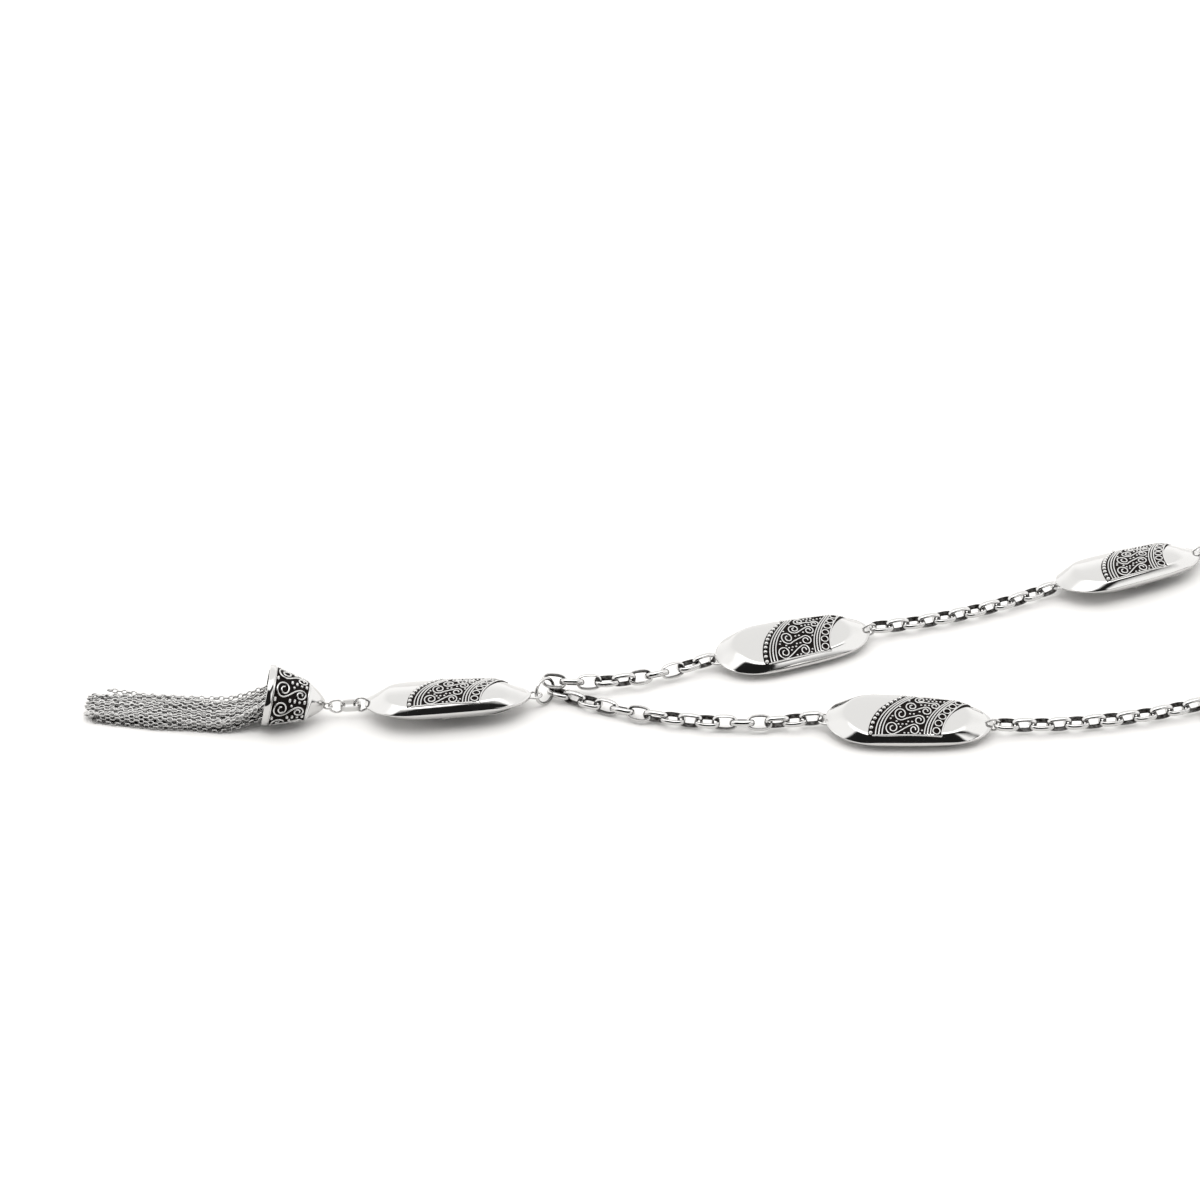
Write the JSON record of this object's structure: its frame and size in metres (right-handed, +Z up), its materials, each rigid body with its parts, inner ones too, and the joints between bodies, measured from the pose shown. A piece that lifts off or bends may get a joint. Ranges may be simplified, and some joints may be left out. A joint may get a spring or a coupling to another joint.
{
  "type": "silver necklace",
  "caption": "Long silver necklace lying flat: belcher chain with almond-shaped scroll-work beads, a joining ring, a pendant bead and a capped tassel of fine chains.",
  "frame": {"origin": "on the surface that the necklace lies on, under the centre of its bounding box", "axes": "+X along the laid necklace from the tassel toward the back of the neck loop, +Y from the near strand to the far strand, +Z up"},
  "size_m": [0.431, 0.1454, 0.0116],
  "materials": {
    "silver": "polished silver, blackened in the recesses",
    "tassel_silver": "fine silver chain with blackened gaps"
  },
  "bodies": {
    "root": {"tassel": "tassel_silver", "tassel_cap": "silver", "cap_ring": "silver", "tail_link": "silver", "pendant_bead": "silver", "main_ring": "silver", "chain_near_1": "silver", "chain_near_2": "silver", "chain_near_3": "silver", "chain_near_4": "silver", "chain_near_5": "silver", "chain_far_1": "silver", "chain_far_2": "silver", "chain_far_3": "silver", "chain_far_4": "silver", "chain_far_5": "silver", "chain_back": "silver", "bead_near_1": "silver", "bead_near_2": "silver", "bead_near_3": "silver", "bead_near_4": "silver", "bead_near_5": "silver", "bead_far_1": "silver", "bead_far_2": "silver", "bead_far_3": "silver", "bead_far_4": "silver", "bead_far_5": "silver"}
  },
  "joints": []
}
